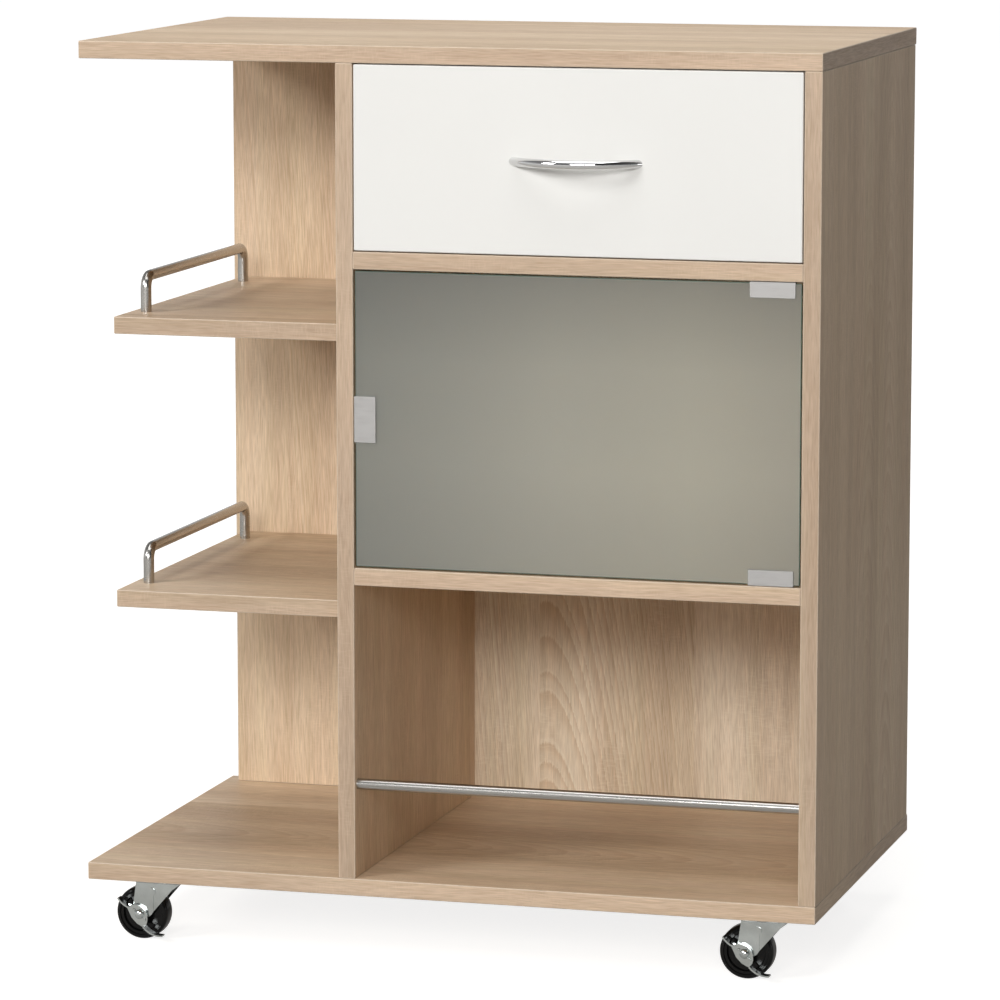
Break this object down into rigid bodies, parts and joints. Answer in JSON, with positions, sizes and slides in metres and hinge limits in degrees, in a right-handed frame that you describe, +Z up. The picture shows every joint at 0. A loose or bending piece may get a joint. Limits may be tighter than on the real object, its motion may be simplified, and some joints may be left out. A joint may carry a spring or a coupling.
{
  "type": "kitchen cart",
  "caption": "Kitchen cart on swivel casters with open side bays and shelf rails, a drawer on roller runners, a frosted glass door and an open compartment.",
  "frame": {"origin": "on the floor, in the middle of the whole cart seen from above", "axes": "+Z up, the front with drawer, glass door and handle faces -Y, +X to the right of a person facing the front"},
  "size_m": [0.69, 0.447, 0.841],
  "materials": {
    "oak_horizontal": "light oak foil with saw marks, grain along X",
    "oak_upright": "light oak foil with saw marks, grain along Z",
    "oak_back": "light oak printed fibreboard, grain along Z",
    "white_front": "white melamine, satin",
    "white_drawer": "white foil on chipboard and fibreboard",
    "beech": "plain beech",
    "zinc_fittings": "bright zinc plated",
    "satin_rail": "brushed stainless",
    "chrome_handle": "polished chrome",
    "runner_white": "white powder coat",
    "roller_plastic": "white nylon",
    "frosted_glass": "satin frosted, greyish green",
    "satin_clamp": "satin",
    "bush_plastic": "grey nylon",
    "plunger_plastic": "black",
    "zinc_caster": "bright zinc plated",
    "zinc_brake": "bright zinc plated",
    "black_wheel": "glossy black"
  },
  "bodies": {
    "cabinet": {"top_board": "oak_horizontal", "base_board": "oak_horizontal", "right_side_panel": "oak_upright", "divider_panel": "oak_upright", "drawer_shelf": "oak_horizontal", "door_shelf": "oak_horizontal", "left_back_board": "oak_upright", "cabinet_back_panel": "oak_back", "upper_side_shelf": "oak_horizontal", "lower_side_shelf": "oak_horizontal", "cam_fittings": "zinc_fittings", "wood_dowels": "beech", "base_screws": "zinc_fittings", "upper_shelf_rail": "satin_rail", "lower_shelf_rail": "satin_rail", "rail_screws": "zinc_fittings", "bottom_rail": "satin_rail", "left_cabinet_runner": "runner_white", "right_cabinet_runner": "runner_white", "hinge_bushes": "bush_plastic", "push_latch_body": "bush_plastic", "panel_screws": "zinc_fittings", "front_left_caster_plate": "zinc_caster", "front_right_caster_plate": "zinc_caster", "rear_left_caster_plate": "zinc_caster", "rear_right_caster_plate": "zinc_caster"},
    "drawer": {"drawer_front": "white_front", "drawer_left_side": "white_drawer", "drawer_right_side": "white_drawer", "drawer_back": "white_drawer", "drawer_bottom": "white_drawer", "drawer_cams": "zinc_fittings", "drawer_screws": "zinc_fittings", "drawer_handle": "chrome_handle", "handle_screws": "zinc_fittings", "left_drawer_runner": "runner_white", "right_drawer_runner": "runner_white"},
    "front_roller_pair": {"front_rollers": "roller_plastic"},
    "rear_roller_pair": {"rear_rollers": "roller_plastic"},
    "door": {"glass_door": "frosted_glass", "upper_hinge_clamp": "satin_clamp", "lower_hinge_clamp": "satin_clamp", "strike_plate": "satin_clamp", "clamp_screws": "zinc_fittings"},
    "latch_plunger": {"push_latch_plunger": "plunger_plastic"},
    "front_left_swivel": {"front_left_caster_fork": "zinc_caster", "front_left_caster_axle": "zinc_brake"},
    "front_left_wheel": {"front_left_caster_wheel": "black_wheel"},
    "front_right_swivel": {"front_right_caster_fork": "zinc_caster", "front_right_caster_axle": "zinc_brake"},
    "front_right_wheel": {"front_right_caster_wheel": "black_wheel"},
    "rear_left_swivel": {"rear_left_caster_fork": "zinc_caster", "rear_left_caster_axle": "zinc_brake"},
    "rear_left_wheel": {"rear_left_caster_wheel": "black_wheel"},
    "rear_right_swivel": {"rear_right_caster_fork": "zinc_caster", "rear_right_caster_axle": "zinc_brake"},
    "rear_right_wheel": {"rear_right_caster_wheel": "black_wheel"},
    "front_left_brake": {"front_left_brake_lever": "zinc_brake"},
    "front_right_brake": {"front_right_brake_lever": "zinc_brake"}
  },
  "joints": [
    {"name": "drawer_slide", "type": "slide", "parent": "cabinet", "child": "drawer", "axis": [0, -1, 0], "range_m": [0, 0.26]},
    {"name": "front_roller_spin", "type": "hinge", "parent": "cabinet", "child": "front_roller_pair", "pos_m": [0.122, -0.1615, 0.6807], "axis": [1, 0, 0], "continuous": true},
    {"name": "rear_roller_spin", "type": "hinge", "parent": "drawer", "child": "rear_roller_pair", "pos_m": [0.122, 0.1575, 0.6775], "axis": [1, 0, 0], "continuous": true},
    {"name": "door_hinge", "type": "hinge", "parent": "cabinet", "child": "door", "pos_m": [0.3134, -0.186, 0.504], "axis": [0, 0, 1], "range_deg": [0, 120]},
    {"name": "latch_plunger_slide", "type": "slide", "parent": "cabinet", "child": "latch_plunger", "axis": [0, 1, 0], "range_m": [0, 0.003], "stiffness_N_per_m": 300},
    {"name": "front_left_swivel_turn", "type": "hinge", "parent": "cabinet", "child": "front_left_swivel", "pos_m": [-0.29, -0.1445, 0.044], "axis": [0, 0, 1], "continuous": true},
    {"name": "front_left_wheel_spin", "type": "hinge", "parent": "front_left_swivel", "child": "front_left_wheel", "pos_m": [-0.3075, -0.1445, 0.025], "axis": [0, 1, 0], "continuous": true},
    {"name": "front_right_swivel_turn", "type": "hinge", "parent": "cabinet", "child": "front_right_swivel", "pos_m": [0.29, -0.1445, 0.044], "axis": [0, 0, 1], "continuous": true},
    {"name": "front_right_wheel_spin", "type": "hinge", "parent": "front_right_swivel", "child": "front_right_wheel", "pos_m": [0.2725, -0.1445, 0.025], "axis": [0, 1, 0], "continuous": true},
    {"name": "rear_left_swivel_turn", "type": "hinge", "parent": "cabinet", "child": "rear_left_swivel", "pos_m": [-0.29, 0.1735, 0.044], "axis": [0, 0, 1], "continuous": true},
    {"name": "rear_left_wheel_spin", "type": "hinge", "parent": "rear_left_swivel", "child": "rear_left_wheel", "pos_m": [-0.3075, 0.1735, 0.025], "axis": [0, 1, 0], "continuous": true},
    {"name": "rear_right_swivel_turn", "type": "hinge", "parent": "cabinet", "child": "rear_right_swivel", "pos_m": [0.29, 0.1735, 0.044], "axis": [0, 0, 1], "continuous": true},
    {"name": "rear_right_wheel_spin", "type": "hinge", "parent": "rear_right_swivel", "child": "rear_right_wheel", "pos_m": [0.2725, 0.1735, 0.025], "axis": [0, 1, 0], "continuous": true},
    {"name": "front_left_brake_tilt", "type": "hinge", "parent": "front_left_swivel", "child": "front_left_brake", "pos_m": [-0.3075, -0.1565, 0.025], "axis": [0, -1, 0], "range_deg": [0, 20]},
    {"name": "front_right_brake_tilt", "type": "hinge", "parent": "front_right_swivel", "child": "front_right_brake", "pos_m": [0.2725, -0.1565, 0.025], "axis": [0, -1, 0], "range_deg": [0, 20]}
  ],
  "couplings": [
    {"joint": "front_roller_spin", "follows": "drawer_slide", "rad_per_m": 90.909},
    {"joint": "rear_roller_spin", "follows": "drawer_slide", "rad_per_m": 90.909}
  ]
}
